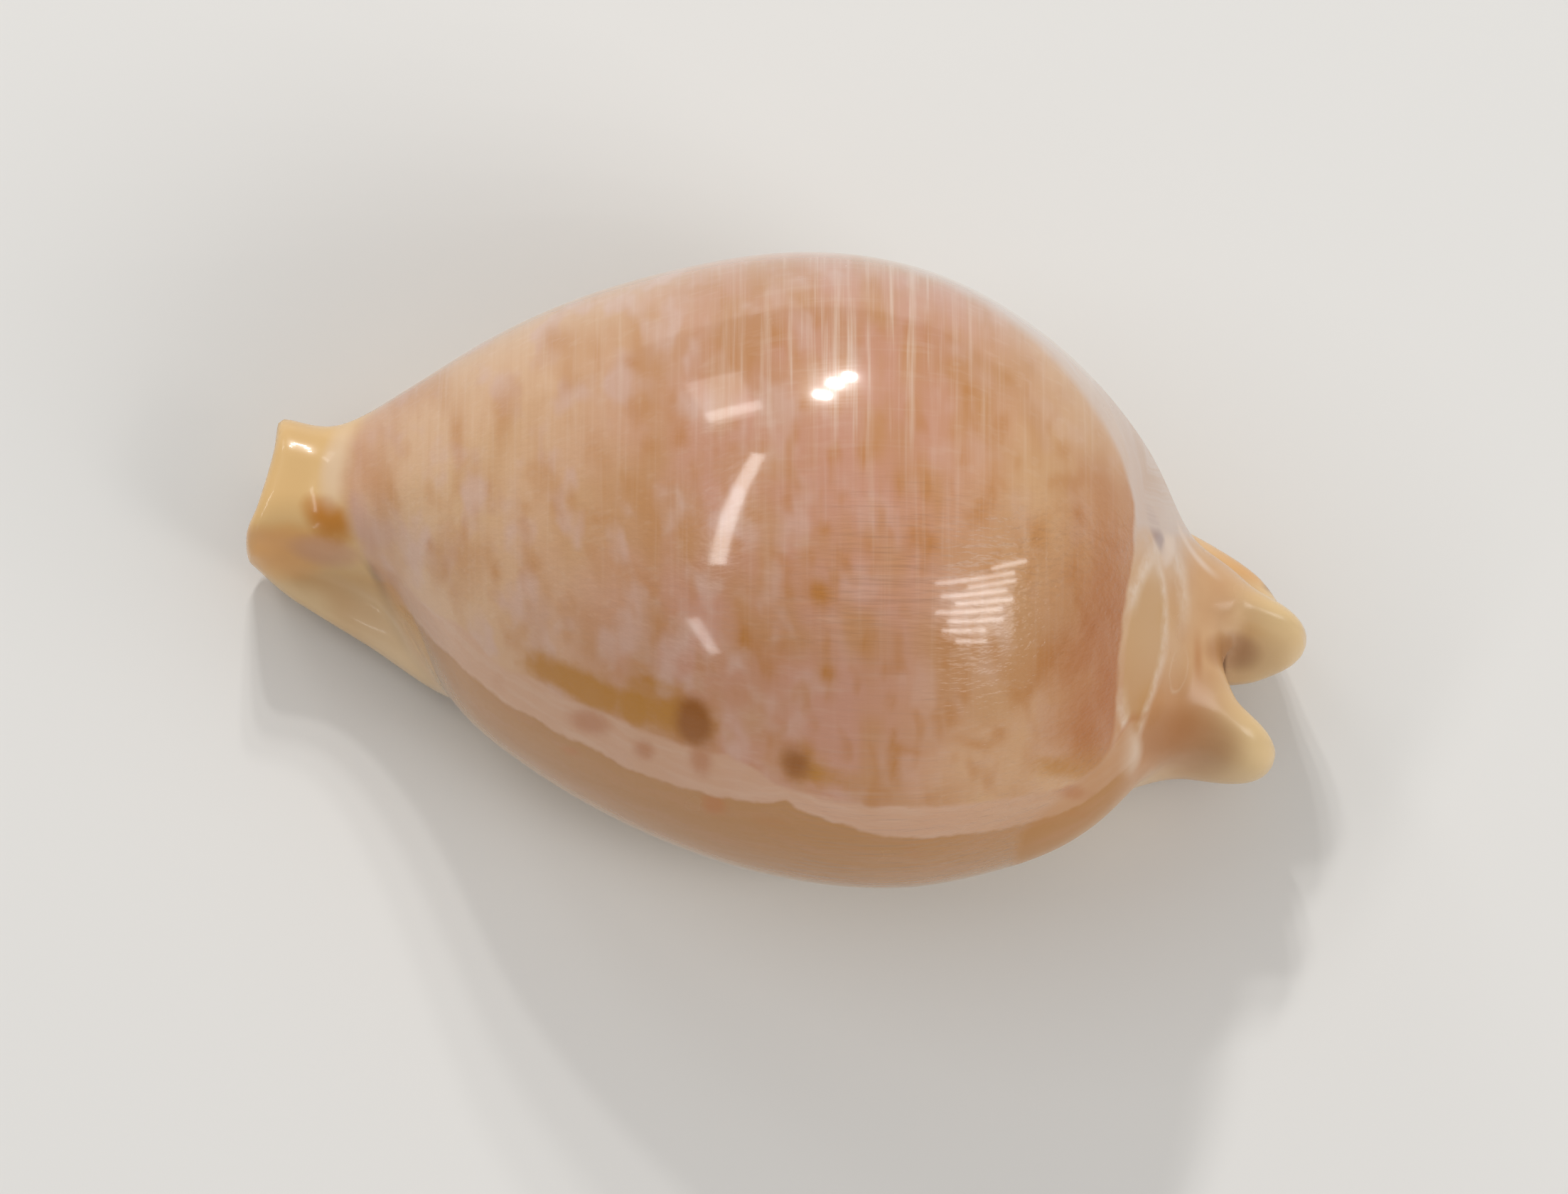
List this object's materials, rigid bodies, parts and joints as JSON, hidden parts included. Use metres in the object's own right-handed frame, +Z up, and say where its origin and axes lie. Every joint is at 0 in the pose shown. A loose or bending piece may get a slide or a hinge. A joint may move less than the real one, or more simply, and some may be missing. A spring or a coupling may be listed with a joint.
{
  "type": "cowrie seashell",
  "caption": "Pear-shaped glossy cowrie shell, hollow, with a short square spout, two tips around an open canal and a toothed slit mouth underneath.",
  "frame": {"origin": "middle of the shell's length and width, on the surface that it rests on", "axes": "+X towards the spire end with its two tips, -X towards the spout, +Y towards the outer (labral) lip, +Z up to the shell's back"},
  "size_m": [0.0702, 0.0416, 0.034],
  "materials": {
    "shell": "high gloss natural enamel, pinkish beige with orange-brown flecks, cream ends and base"
  },
  "bodies": {
    "root": {"shell": "shell"}
  },
  "joints": []
}
